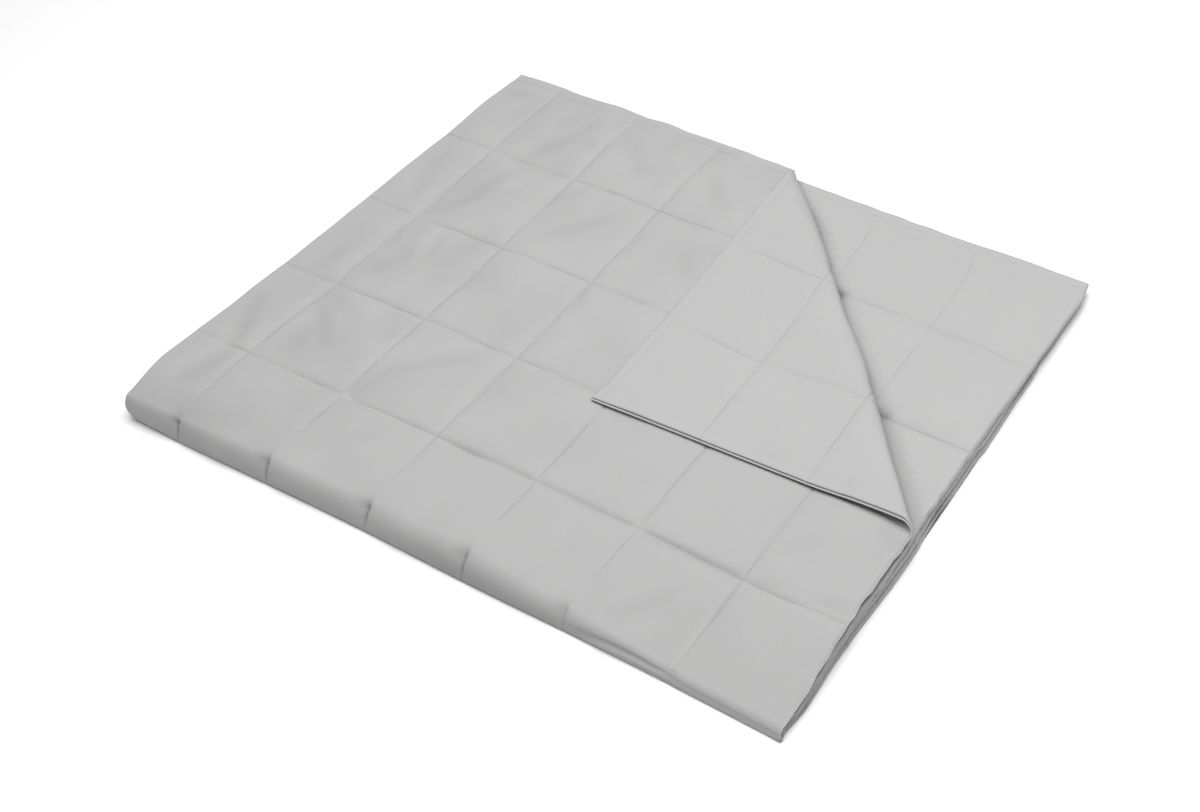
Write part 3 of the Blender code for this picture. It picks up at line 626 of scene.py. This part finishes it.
# ================================================================ mesh
def build_blanket():
    points, faces, ring = flat_sheet()
    n = len(points)
    u, v = points[:, 0], points[:, 1]
    out, back, painted_shading, turned_painted_shading = relief(u, v)
    parts = [lay(u, v, 1.0, out, back), lay(u, v, -1.0, out, back)]
    uvs = [np.stack([u, v], 1), np.stack([u, v], 1)]
    shades = [np.where(u > 0, painted_shading, 0), np.where(v > 0, turned_painted_shading, 0)]
    ring = np.array(ring)
    ru, rv = u[ring], v[ring]
    eu = np.where(ru > U_OUT - 1e-6, 1.0, np.where(ru < -U_IN + 1e-6, -1.0, 0.0))
    ev = np.where(rv > V_END - 1e-6, 1.0, np.where(rv < -V_END + 1e-6, -1.0, 0.0))
    corner = (np.abs(eu) + np.abs(ev)) > 1.5
    k = np.where(corner, 0.7, 1.0)
    # two plies, rounded, with a groove between them: side, bulge, bulge of the plain hems,
    # and the painted light and shade of the turned corner's hem, of the top layer's and of the second layer's
    rim_rows = [(0.86, 0.0020, 0.0012, 4.0, -4.0, 7.0), (0.52, 0.0032, 0.0016, -18.0, -6.0, 5.0),
                (0.20, 0.0024, 0.0017, -15.0, -2.0, 2.0), (0.04, -0.0010, 0.0017, 13.0, 4.0, 0.0),
                (-0.14, 0.0002, 0.0017, 8.0, 5.0, -2.0), (-0.50, 0.0009, 0.0016, -14.0, 7.0, -5.0),
                (-0.86, 0.0005, 0.0012, -12.0, 9.0, -5.0)]
    dents = sum(np.exp(-((np.abs(rv) - at) / 0.0045) ** 2) for at in (0.322, 0.357, 0.386, 0.445))
    lumps = -0.0024 * dents + ripple(np.zeros_like(rv), np.abs(rv), 6.4, 0.026, 0.0034) + ripple(ru, rv, 2.2, 0.020, 0.0014)
    w, s = bend_place(X_FOLD + np.abs(ru) - FOLD_1_ARC - drawn(ru, rv), Y_FOLD + rv - FOLD_2_ARC)
    turned = (rv > 0) & (s > 0)
    for side, bulge, plain, flap_shading, top_shading, second_shading in rim_rows:
        b = np.where((rv < 0) | (ru < 0), plain + lumps * np.where(turned, 0.3, 1.0), bulge) * k
        parts.append(lay(ru + eu * b, rv + ev * b, side, out[ring], back[ring]))
        uvs.append(np.stack([ru + eu * 0.004 * (1 - side), rv + ev * 0.004 * (1 - side)], 1))
        rim_shading = np.where(ru > 0, np.where(turned, flap_shading, top_shading), np.where(turned, second_shading, 5.0))
        # painted shade on the lower layers' hems towards the front
        front = 8.0 * (1 - smooth(0.9 * CELL, 2.0 * CELL, np.abs(rv)))
        # painted shade where the layers' hems meet, painted highlight at their middles, and painted shade in the hems'
        # dents
        meet = 10.0 * smooth(0.45, 0.80, abs(side)) - 4.0 * (abs(side) < 0.3)
        shades.append(np.where(rv > 0, rim_shading, 5.0 + meet) + 8.0 * dents * (ru < 0) + front * ((ru < 0) | (rv < 0)))
    # painted highlight along the edges of the turned corner and the top layer
    shades[1][ring] = np.where(turned & (ru > 0), -4.0, shades[1][ring])
    shades[0][ring] = np.where(~turned & (ru > 0) & (rv > 0), -2.0, shades[0][ring])
    co = np.concatenate(parts)
    polys = [f for f in faces] + [tuple(i + n for i in reversed(f)) for f in faces]
    m = len(ring)
    rows = [list(ring)] + [list(range(2 * n + j * m, 2 * n + (j + 1) * m)) for j in range(len(rim_rows))]
    rows.append([i + n for i in ring])
    for a, b in zip(rows[:-1], rows[1:]):
        for i in range(m):
            j = (i + 1) % m
            polys.append((a[j], a[i], b[i], b[j]))
    mesh = bpy.data.meshes.new("blanket")
    mesh.from_pydata(co.tolist(), [], polys)
    mesh.validate()
    flat_uv = np.concatenate(uvs)
    loops = np.empty(len(mesh.loops), dtype=np.int32)
    mesh.loops.foreach_get("vertex_index", loops)
    poly_start = np.empty(len(mesh.polygons), dtype=np.int32)
    poly_total = np.empty(len(mesh.polygons), dtype=np.int32)
    mesh.polygons.foreach_get("loop_start", poly_start)
    mesh.polygons.foreach_get("loop_total", poly_total)
    reverse_poly = np.zeros(len(mesh.polygons), bool)
    reverse_poly[len(faces):2 * len(faces)] = True
    reverse_loop = np.repeat(reverse_poly, poly_total)
    span = 2 * (2 * V_END + 0.04)
    bake = flat_uv[loops].copy()
    bake[:, 0] = (bake[:, 0] + U_IN + 0.012) / span
    bake[:, 1] = (bake[:, 1] + V_END + 0.012 + np.where(reverse_loop, span / 2, 0)) / span
    layer = mesh.uv_layers.new(name="OFBake")
    layer.data.foreach_set("uv", bake.ravel())
    layer = mesh.uv_layers.new(name="sheet")
    layer.data.foreach_set("uv", flat_uv[loops].ravel())
    mesh.polygons.foreach_set("use_smooth", [True] * len(mesh.polygons))
    # painted shading per point: positive values darken the cloth's colour, negative ones lighten it
    shading_paint = mesh.attributes.new("painted_shading", "FLOAT", "POINT")
    shading_paint.data.foreach_set("value", np.concatenate(shades).astype(np.float32))
    under = mesh.attributes.new("reverse", "FLOAT", "FACE")
    under.data.foreach_set("value", reverse_poly.astype(np.float32))
    ob = bpy.data.objects.new("blanket", mesh)
    bpy.context.scene.collection.objects.link(ob)
    return ob


# ================================================================ material
def cloth_material():
    mat = bpy.data.materials.new("blanket_cloth_look")
    mat.use_nodes = True
    nt = mat.node_tree
    nodes, links = nt.nodes, nt.links
    shader = nodes["Principled BSDF"]

    def math_node(op, a, b=None, clamp=False):
        node = nodes.new("ShaderNodeMath")
        node.operation = op
        node.use_clamp = clamp
        for k, x in enumerate((a, b)):
            if x is None:
                continue
            if hasattr(x, "links") or hasattr(x, "is_linked"):
                links.new(x, node.inputs[k])
            else:
                node.inputs[k].default_value = x
        return node.outputs[0]

    uv = nodes.new("ShaderNodeUVMap")
    uv.uv_map = "sheet"
    sep = nodes.new("ShaderNodeSeparateXYZ")
    links.new(uv.outputs[0], sep.inputs[0])
    u, v = sep.outputs[0], sep.outputs[1]

    def distance(x, first):
        c = math_node("ADD", math_node("DIVIDE", x, CELL), 0.5 - first)
        f = math_node("SUBTRACT", math_node("FRACT", c), 0.5)
        return math_node("MULTIPLY", math_node("ABSOLUTE", f), CELL)

    def line(d, half, soft):
        """1 on the line, 0 beside it."""
        x = math_node("DIVIDE", math_node("SUBTRACT", half + soft, d), soft, clamp=True)
        return x

    du, dv = distance(u, FOLD_1), distance(v, 0.0)
    beyond = math_node("DIVIDE", math_node("SUBTRACT", math_node("ABSOLUTE", v), 0.035), 0.02, clamp=True)
    seam_u = line(du, 0.00035, 0.0005)
    seam_v = math_node("MULTIPLY", line(dv, 0.00035, 0.0005), beyond)
    # stitches: a dash every 3.4 mm along each seam
    dash_v = math_node("LESS_THAN", math_node("FRACT", math_node("DIVIDE", v, 0.0034)), 0.72)
    dash_u = math_node("LESS_THAN", math_node("FRACT", math_node("DIVIDE", u, 0.0034)), 0.72)
    thread = math_node("MAXIMUM", math_node("MULTIPLY", seam_u, dash_v), math_node("MULTIPLY", seam_v, dash_u))
    hole = math_node("SUBTRACT", math_node("MAXIMUM", seam_u, seam_v), thread, clamp=True)

    def tex(scale_u, scale_v, detail, rough=0.5):
        mapping = nodes.new("ShaderNodeMapping")
        links.new(uv.outputs[0], mapping.inputs[0])
        mapping.inputs["Scale"].default_value = (scale_u, scale_v, 1.0)
        t = nodes.new("ShaderNodeTexNoise")
        t.inputs["Scale"].default_value = 1.0
        t.inputs["Detail"].default_value = detail
        t.inputs["Roughness"].default_value = rough
        links.new(mapping.outputs[0], t.inputs["Vector"])
        return t.outputs["Fac"]

    warp_threads = tex(1500, 120, 2)
    weft_threads = tex(120, 1500, 2)
    threads = math_node("ADD", warp_threads, weft_threads)
    cloud = tex(9, 9, 3)
    fine = tex(150, 150, 2)

    shading_paint = nodes.new("ShaderNodeAttribute")
    shading_paint.attribute_name = "painted_shading"
    reverse = nodes.new("ShaderNodeAttribute")
    reverse.attribute_name = "reverse"
    uneven = tex(16, 16, 2)
    patchy = math_node("SUBTRACT", math_node("MULTIPLY", uneven, 4.0), 1.4, clamp=True)
    # painted shade along the column and row seams and the hems' stitch lines, patchy, weaker on the reverse
    by_fold = math_node("DIVIDE", math_node("SUBTRACT", math_node("ABSOLUTE", v), 0.030), 0.07, clamp=True)
    by_hem = math_node("DIVIDE", math_node("SUBTRACT", V_END - 0.010, v), 0.035, clamp=True)
    seam_shade = math_node("MULTIPLY", line(du, 0.0002, 0.0013), math_node("MULTIPLY", by_fold, by_hem))
    seam_shade = math_node("MAXIMUM", seam_shade, math_node("MULTIPLY", math_node("MULTIPLY", line(dv, 0.0002, 0.0017), 1.2), beyond))
    hem = math_node("ABSOLUTE", math_node("SUBTRACT", V_END - HEM_WIDE, math_node("ABSOLUTE", v)))
    seam_shade = math_node("MAXIMUM", seam_shade, math_node("MULTIPLY", line(hem, 0.0002, 0.0014), 0.9))
    seam_shade = math_node("MULTIPLY", seam_shade, math_node("SUBTRACT", 1.0, math_node("MULTIPLY", reverse.outputs["Fac"], 0.35)))
    shade = math_node("ADD", 0.968, math_node("MULTIPLY", cloud, 0.035))
    shade = math_node("ADD", shade, math_node("MULTIPLY", reverse.outputs["Fac"], 0.045))
    shade = math_node("SUBTRACT", shade, math_node("MULTIPLY", math_node("MULTIPLY", seam_shade, patchy), 0.16))
    # painted shade and painted highlight from the per-point painted shading
    shade = math_node("SUBTRACT", shade, math_node("MULTIPLY", shading_paint.outputs["Fac"], 0.016))
    shade = math_node("ADD", shade, math_node("MULTIPLY", math_node("SUBTRACT", fine, 0.5), 0.030))
    shade = math_node("ADD", shade, math_node("MULTIPLY", math_node("SUBTRACT", threads, 1.0), 0.06))
    shade = math_node("ADD", shade, math_node("MULTIPLY", thread, 0.05))
    # painted shade in the needle holes between the stitches
    shade = math_node("SUBTRACT", shade, math_node("MULTIPLY", hole, 0.22))
    colour = nodes.new("ShaderNodeMix")
    colour.data_type = "RGBA"
    colour.blend_type = "MULTIPLY"
    colour.inputs[0].default_value = 1.0
    colour.inputs[6].default_value = (*CLOTH, 1.0)
    combine = nodes.new("ShaderNodeCombineColor")
    for k in range(3):
        links.new(shade, combine.inputs[k])
    links.new(combine.outputs[0], colour.inputs[7])
    links.new(colour.outputs[2], shader.inputs["Base Color"])
    shader.inputs["Roughness"].default_value = 0.88
    shader.inputs["Specular IOR Level"].default_value = 0.25
    shader.inputs["Sheen Weight"].default_value = 0.12
    shader.inputs["Sheen Roughness"].default_value = 0.5

    height = math_node("ADD", math_node("MULTIPLY", threads, 0.5), math_node("MULTIPLY", fine, 0.6))
    height = math_node("ADD", height, math_node("MULTIPLY", thread, 0.9))
    height = math_node("SUBTRACT", height, math_node("MULTIPLY", hole, 1.4))
    bump = nodes.new("ShaderNodeBump")
    bump.inputs["Strength"].default_value = 0.35
    bump.inputs["Distance"].default_value = 0.0003
    links.new(height, bump.inputs["Height"])
    links.new(bump.outputs[0], shader.inputs["Normal"])
    return mat


CLOTH = (0.403, 0.401, 0.400)


# ================================================================ set
def build_floor():
    bpy.ops.mesh.primitive_plane_add(size=40, location=(0, 0, 0))
    floor = bpy.context.object
    floor.name = "floor"
    mat = bpy.data.materials.new("floor_pale")
    mat.use_nodes = True
    shader = mat.node_tree.nodes["Principled BSDF"]
    shader.inputs["Base Color"].default_value = (0.98, 0.98, 0.98, 1.0)
    shader.inputs["Roughness"].default_value = 0.9
    shader.inputs["Specular IOR Level"].default_value = 0.1
    floor.data.materials.append(mat)


def area_light(name, at, look, size, power, colour=(1, 1, 1)):
    data = bpy.data.lights.new(name, "AREA")
    data.shape = "RECTANGLE"
    data.size, data.size_y = size
    data.energy = power
    data.color = colour
    ob = bpy.data.objects.new(name, data)
    bpy.context.scene.collection.objects.link(ob)
    ob.location = at
    from mathutils import Vector
    ob.rotation_euler = (Vector(look) - Vector(at)).to_track_quat("-Z", "Y").to_euler()
    return ob


def build_light():
    world = bpy.data.worlds.new("studio")
    bpy.context.scene.world = world
    world.use_nodes = True
    bg = world.node_tree.nodes["Background"]
    bg.inputs[0].default_value = (1.0, 1.0, 1.0, 1.0)
    bg.inputs[1].default_value = 0.29
    area_light("overhead", (0.35, 0.2, 2.5), (0.0, 0.0, 0), (2.8, 2.8), 94)


def build_camera():
    az, el, roll = (math.radians(x) for x in (CAMERA_AZ, CAMERA_EL, CAMERA_ROLL))
    fwd = np.array([math.sin(az) * math.cos(el), math.cos(az) * math.cos(el), -math.sin(el)])
    right = np.array([math.cos(az), -math.sin(az), 0.0])
    down = np.cross(fwd, right)
    r = math.cos(roll) * right + math.sin(roll) * down
    d = -math.sin(roll) * right + math.cos(roll) * down
    m = Matrix.Identity(4)
    for i in range(3):
        m[i][0], m[i][1], m[i][2] = r[i], -d[i], -fwd[i]
    at = [c * CELL for c in CAMERA_AT]
    m[0][3], m[1][3], m[2][3] = at[0] - PLACE[0], at[1] - PLACE[1], at[2]
    data = bpy.data.cameras.new("camera")
    data.sensor_width = 36.0
    data.lens = CAMERA_FOCAL / 1200 * 36
    cam = bpy.data.objects.new("camera", data)
    bpy.context.scene.collection.objects.link(cam)
    cam.matrix_world = m
    bpy.context.scene.camera = cam


bpy.context.scene.view_settings.view_transform = "Standard"
build_camera()
build_light()
build_floor()
blanket = build_blanket()
blanket.data.materials.append(cloth_material())
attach(blanket, "root")
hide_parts("weighted_blanket")
